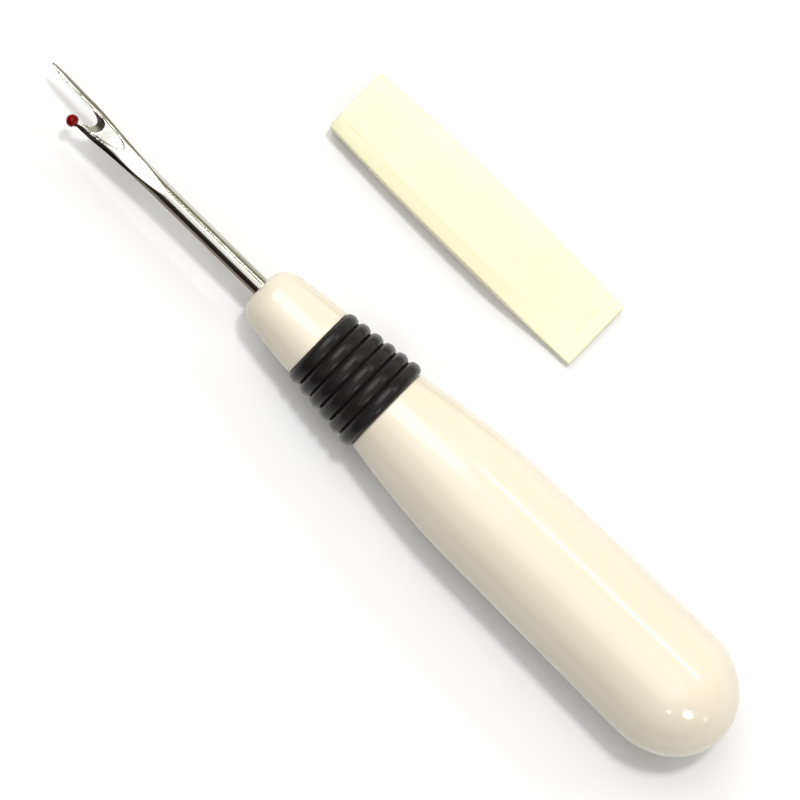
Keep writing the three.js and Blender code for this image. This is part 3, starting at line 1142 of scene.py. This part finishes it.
@dataclass(frozen=True)
class GripRings:
    """Six rubber rings, each a little larger than the one in front of it."""

    count: int = 6
    pitch: float = 2.3
    first_station: float = 58.05
    first_radius: float = 6.62
    last_radius: float = 8.02
    flash: float = 0.045
    squareness: float = 0.84
    lean_deg: float = 0.25
    seed: int = 7

    def build(self, axis: ToolAxis) -> list[bpy.types.Object]:
        """Makes the rings.

        Args:
            axis: The tool's axis.

        Returns:
            The rings, front first. Each is a round cord carried round the axis; where two rings
            press together the cord is a little flat (its cosine and sine are raised to a power below
            1, which squares a circle's section), and a fine mould line runs round its crest.
        """
        lean = np.random.default_rng(self.seed).uniform(-1.0, 1.0, (self.count, 2))
        radii = np.linspace(self.first_radius, self.last_radius, self.count)
        return [self._ring(axis, i, radii[i], lean[i]) for i in range(self.count)]

    def _ring(self, axis: ToolAxis, index: int, outer: float, lean: Array) -> bpy.types.Object:
        """Makes one ring, leaning by a fraction of a degree."""
        cord = self.pitch / 2
        around = np.linspace(0.0, 2 * np.pi, 145)[None, :] % (2 * np.pi)
        turn = np.linspace(0.0, 2 * np.pi, 97)[:, None] % (2 * np.pi)
        crest = np.exp(-((np.sin(turn) - 1) / 0.006) ** 2)
        swell = cord * (1 + 0.02 * np.cos(turn) ** 4) + self.flash * crest
        cos, sin = np.cos(turn), np.sin(turn)
        along = -np.sign(cos) * np.minimum(cord * 1.03, 1.03 * swell * np.abs(cos) ** self.squareness)
        radius = outer - cord + swell * np.sign(sin) * np.abs(sin) ** self.squareness
        tip = math.radians(self.lean_deg) * (lean[0] * np.cos(around) + lean[1] * np.sin(around))
        station = self.first_station + index * self.pitch + along + radius * tip
        shell = Shell()
        shell.patch(axis.place(station, radius * np.sin(around), radius * np.cos(around)))
        return shell.build(f"rubber_ring_{index + 1}", 60.0)


# Cap


@dataclass(frozen=True)
class SoftCap:
    """A soft flat sheath: open mouth, fuller middle, pinched and sealed at the far end."""

    length: float = 50.3
    widths: tuple[float, float, float] = (11.3, 12.8, 11.9)
    mouth_height: float = 5.7
    middle_height: float = 6.3
    lip_height: float = 1.5
    lip_length: float = 2.8
    lip_rise: float = 1.3
    shoulder: float = 15.0
    wall: float = 0.7
    side_wall: float = 1.3
    cavity_length: float = 45.6
    fold_side: float = -3.62
    fold_depth: float = 0.13
    fold_length: float = 11.0
    fold_half_width: float = 0.45
    fold_waves: tuple = ((0.07, 1.7, 0.0), (0.03, 3.9, 1.0))
    seal_depth: float = 0.26
    seal_half_width: float = 0.16
    seal_reach: Span = (0.52, 0.38)
    end_round: float = 0.5
    rim: float = 0.35
    middle_corners: tuple = (
        (0.62, -1.0, 0.20), (0.96, -0.72, 0.12), (1.0, -0.20, 0.16), (0.95, 0.80, 0.07), (0.57, 1.0, 0.07),
    )
    end_corners: tuple = (
        (0.80, -1.0, 0.12), (0.97, -0.70, 0.10), (1.0, -0.10, 0.16), (0.97, 0.78, 0.09), (0.63, 1.0, 0.09),
    )

    def _section(self, along: Array, inset: float, side_inset: float) -> Array:
        """Sections of the sheath at distances from its mouth.

        Args:
            along: (rows,) distances.
            inset: How far inside the top and bottom.
            side_inset: How far inside the sides.

        Returns:
            (rows, columns, 2) of side and height: a flat top, a sloping shoulder and a steeper
            side, as wide and as tall as the sheath is there. The shoulder is broadest half way
            along and narrows towards both ends.
        """
        u = along / self.length
        mouth, middle, sealed = self.widths
        width = mouth * (1 - u) + sealed * u + 4 * (middle - (mouth + sealed) / 2) * u * (1 - u)
        full = smoothstep(0.0, self.shoulder, self.length - self.lip_length - along)
        tall = self.mouth_height + 4 * (self.middle_height - self.mouth_height) * u * (1 - u)
        height = self.lip_height + (tall - self.lip_height) * full
        floor = self.lip_rise * (1 - full)
        ends, middle_part = self._loop(self.end_corners), self._loop(self.middle_corners)
        share = (4 * u * (1 - u))[:, None, None] ** 0.7
        loop = ends[None] * (1 - share) + middle_part[None] * share
        side = (width / 2 - side_inset)[:, None] * loop[..., 0]
        up = (floor + height / 2)[:, None] + np.clip(height / 2 - inset, 0.02, None)[:, None] * loop[..., 1]
        return np.stack([side, up], axis=-1)

    @staticmethod
    def _loop(corners: Sequence[tuple[float, float, float]]) -> Array:
        """A closed section from the corners of its right half, each eased by its fillet."""
        half = filleted([(0.0, -1.0, 0.0), *corners, (0.0, 1.0, 0.0)], 8)
        under, top = np.linspace(half[0], half[1], 14)[:-1], np.linspace(half[-2], half[-1], 14)[1:]
        half = np.vstack([under, half[1:-1], top])
        return np.vstack([half, half[-2::-1] * np.array([-1.0, 1.0])])

    def _pinch(self, rows: Array, along: Array) -> Array:
        """Presses the seal's line into both faces and rounds the sealed end.

        Args:
            rows: Sections from _section.
            along: Their distances from the mouth.

        Returns:
            The sections, thinner by a narrow groove one lip length from the end, and drawn to
            their middle height over the last part of a millimetre as a quarter round. A soft fold
            follows one side of the cavity from the mouth and fades out.
        """
        line = self.length - self.lip_length
        middle = rows[..., 1].mean(axis=1, keepdims=True)
        groove = self.seal_depth * np.exp(-(((along - line) / self.seal_half_width) ** 2))[:, None]
        groove = groove * smoothstep(*self.seal_reach, np.abs(rows[..., 0]) / (self.widths[2] / 2))
        left = np.clip(self.length - along, 0.0, None)
        share = np.clip(left / self.end_round, 0.0, 1.0)
        end = np.sqrt(np.clip(1 - (1 - share) ** 2, 0.0, 1.0))[:, None]
        rows = rows.copy()
        rows[..., 1] = middle + (rows[..., 1] - middle) * (1 - groove) * end
        near_mouth = self.fold_depth * smoothstep(1.0, 2.0, along)
        near_mouth = near_mouth * smoothstep(self.fold_length, 3.0, along)
        fold_side = np.full_like(along, self.fold_side)
        for size, rate, phase in self.fold_waves:
            fold_side = fold_side + size * np.sin(rate * along + phase)
        away = (rows[..., 0] - fold_side[:, None]) / self.fold_half_width
        fold = near_mouth[:, None] * np.exp(-(away**2))
        rows[..., 1] -= np.where(rows[..., 1] > middle, fold, 0.0)
        return rows

    def build(self, origin: Vector, highest: Vector) -> bpy.types.Object:
        """Makes the sheath as one skin: outside, rounded rim, and inside of the cavity.

        Args:
            origin: Lowest corner of the cap's box.
            highest: Highest corner of it; the mouth is at its +X side.

        Returns:
            The cap.
        """
        outside_at = np.concatenate([
            np.linspace(self.rim, self.length - 4.2, 110),
            np.linspace(self.length - 4.1, self.length - self.end_round, 90),
            self.length - self.end_round * (1 - np.sin(np.linspace(0.06, 1.0, 14) * np.pi / 2)),
        ])
        outside = self._pinch(self._section(outside_at, 0.0, 0.0), outside_at)
        inside_at = np.linspace(self.rim, self.cavity_length, 90)
        inside = self._section(inside_at, self.wall, self.side_wall)
        rim = np.linspace(0.0, np.pi, 11)[1:-1]
        share = ((1 - np.cos(rim)) / 2)[:, None, None]
        bridge = inside[:1] * (1 - share) + outside[:1] * share
        bridge_at = self.rim - self.rim * np.sin(rim)
        flat_row = np.full_like(inside[-1:, :, 1], inside[-1, :, 1].mean())
        end = np.stack([inside[-1:, :, 0], flat_row], -1)
        rows = np.concatenate([end, inside[::-1], bridge, outside])
        along = np.concatenate([[self.cavity_length + 0.05], inside_at[::-1], bridge_at, outside_at])
        middle_y = (origin.y + highest.y) / 2
        x = highest.x - along[:, None] * MM + 0 * rows[..., 0]
        points = np.stack([x, middle_y - rows[..., 0] * MM, origin.z + rows[..., 1] * MM], axis=-1)
        shell = Shell()
        shell.patch(points)
        return shell.build("soft_cap", 60.0)


# Stage


@dataclass(frozen=True)
class Lamp:
    """One area lamp, aimed at a point."""

    name: str
    place: tuple[float, float, float]
    aim: tuple[float, float, float]
    size: tuple[float, float]
    power: float
    colour: tuple[float, float, float] = (1.0, 1.0, 1.0)
    shape: str = "RECTANGLE"
    seen_in_gloss: bool = True

    def light(self) -> None:
        """Adds the lamp, its first side along X as far as its aim allows."""
        data = bpy.data.lights.new(self.name, "AREA")
        data.shape = self.shape
        data.size, data.size_y = self.size
        data.energy = self.power
        data.color = self.colour
        obj = add_object(self.name, data)
        back = (Vector(self.place) - Vector(self.aim)).normalized()
        across = Vector((1.0, 0.0, 0.0))
        across = (across - back * across.dot(back)).normalized()
        turn = Matrix((across, back.cross(across), back)).transposed()
        obj.matrix_world = Matrix.Translation(Vector(self.place)) @ turn.to_4x4()
        obj.visible_glossy = self.seen_in_gloss


@dataclass(frozen=True)
class Studio:
    """Pale table, soft lamps, a pale surround and the camera."""

    table_tone: Tone = (0.80, 0.80, 0.81, 1.0)
    overhead: Tone = (1.26, 1.26, 1.25, 1.0)
    lamp_side: Tone = (0.34, 0.32, 0.235, 1.0)
    far_side: Tone = (0.035, 0.028, 0.022, 1.0)
    patch_tone: float = 0.985
    camera_distance: float = 0.60
    camera_lens: float = 181.97
    camera_lean_deg: float = -1.36
    camera_turn_deg: float = 135.65
    camera_aim: Span = (-0.00137, 0.01059)

    MIDDLE = (0.0, 0.0, 0.0)
    BUTT = (-0.066, 0.013, 0.01)
    ROUND = "ELLIPSE"
    LAMPS = (
        Lamp("key", (0.06, -0.29, 0.96), MIDDLE, (0.10, 0.10), 4.0, shape=ROUND, seen_in_gloss=False),
        Lamp("softbox", (0.45, -0.31, 0.80), MIDDLE, (0.70, 0.70), 4.9, shape=ROUND),
        Lamp("strip", (-0.16, -0.63, 0.62), (-0.13, 0.013, 0.01), (0.50, 0.045), 1.3),
        Lamp("butt_lamp", (-0.577, 0.136, 0.487), BUTT, (0.17, 0.13), 0.95, shape=ROUND),
        Lamp("butt_spot", (-0.34, 0.35, 0.56), BUTT, (0.06, 0.06), 0.11, shape=ROUND),
        Lamp("low_spot", (-0.75, -0.02, 0.23), BUTT, (0.05, 0.10), 0.10, shape=ROUND),
    )

    def build(self) -> None:
        """Adds the whole stage to the scene."""
        self._table()
        self._surround()
        for lamp in self.LAMPS:
            lamp.light()
        self._camera()
        scene = bpy.context.scene
        scene.view_settings.view_transform = "Standard"

    def _table(self) -> None:
        """A wide pale sheet at the height that the object rests on."""
        half, low = 2.0, cad_box[0].z
        corners = [(-half, -half, low), (half, -half, low), (half, half, low), (-half, half, low)]
        mesh = bpy.data.meshes.new("table")
        mesh.from_pydata(corners, [], [(0, 1, 2, 3)])
        table = add_object("table", mesh)
        material, graph, shader = new_material("pale_table")
        noise = graph.add("ShaderNodeTexNoise", {"Scale": 30.0})
        tone = tuple(self.patch_tone * c for c in self.table_tone[:3]) + (1.0,)
        colour = graph.mix(noise.outputs[0], self.table_tone, tone)
        feed(graph, shader, {"Base_Color": colour, "Roughness": 0.9})
        mesh.materials.append(material)

    def _surround(self) -> None:
        """White overhead; lower down, warm grey on the lamps' side and dark on the other."""
        world = bpy.data.worlds.new("surround")
        bpy.context.scene.world = world
        world.use_nodes = True
        world.node_tree.nodes.clear()
        graph = Graph(world.node_tree)
        way = graph.add("ShaderNodeTexCoord").outputs["Generated"]
        split = graph.add("ShaderNodeSeparateXYZ", {0: way}).outputs
        sideways = graph.mix(graph.spread(split["Y"], 0.05, -0.40, 0.0, 1.0), self.far_side, self.lamp_side)
        colour = graph.mix(graph.spread(split["Z"], 0.86, 0.93, 0.0, 1.0), sideways, self.overhead)
        shade = graph.add("ShaderNodeBackground", {"Color": colour, "Strength": 1.0})
        graph.add("ShaderNodeOutputWorld", {"Surface": shade.outputs[0]})

    def _camera(self) -> None:
        """Nearly overhead, turned so that the tool lies from lower right to upper left."""
        data = bpy.data.cameras.new("camera")
        data.lens = self.camera_lens
        data.clip_start, data.clip_end = 0.01, 10.0
        camera = add_object("camera", data)
        turn = math.radians(self.camera_turn_deg)
        lean = math.radians(self.camera_lean_deg)
        up_on_table = Vector((math.cos(turn - math.pi / 2), -math.sin(turn - math.pi / 2), 0.0))
        back = Vector((0.0, 0.0, 1.0)) * math.cos(lean) - up_on_table * math.sin(lean)
        right = up_on_table.cross(back).normalized()
        up = back.cross(right)
        aim = Vector((*self.camera_aim, 0.005))
        rotation = Matrix((right, up, back)).transposed().to_4x4()
        camera.matrix_world = Matrix.Translation(aim + back * self.camera_distance) @ rotation
        bpy.context.scene.camera = camera


def main() -> None:
    """Builds and dresses each piece in order, then the stage."""
    logging.basicConfig(level=logging.INFO, format="%(name)s: %(message)s")
    axis = ToolAxis.from_record(frame["record"])
    effects = SurfaceEffects()
    steel, red, ivory, rubber, vinyl = (
        finish.material(effects)
        for finish in (BrightSteel(), RedBead(), IvoryPlastic(), BlackRubber(), SoftVinyl())
    )
    dress(Blade().build(axis), steel, Slot.STEEL, Body.TOOL, "blade")
    dress(PointBead().build(axis), red, Slot.RED_BEAD, Body.TOOL, "point_ball")
    dress(NoseCollar().build(axis), ivory, Slot.IVORY, Body.TOOL, "nose_collar")
    for number, ring in enumerate(GripRings().build(axis), start=1):
        dress(ring, rubber, Slot.BLACK_RUBBER, Body.TOOL, f"grip_ring_{number}")
    dress(HandleBody().build(axis), ivory, Slot.IVORY, Body.TOOL, "handle_body")
    dress(SoftCap().build(*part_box("cap")), vinyl, Slot.SOFT_CAP, Body.CAP, "cap")
    Studio().build()


if __name__ == "__main__":
    main()
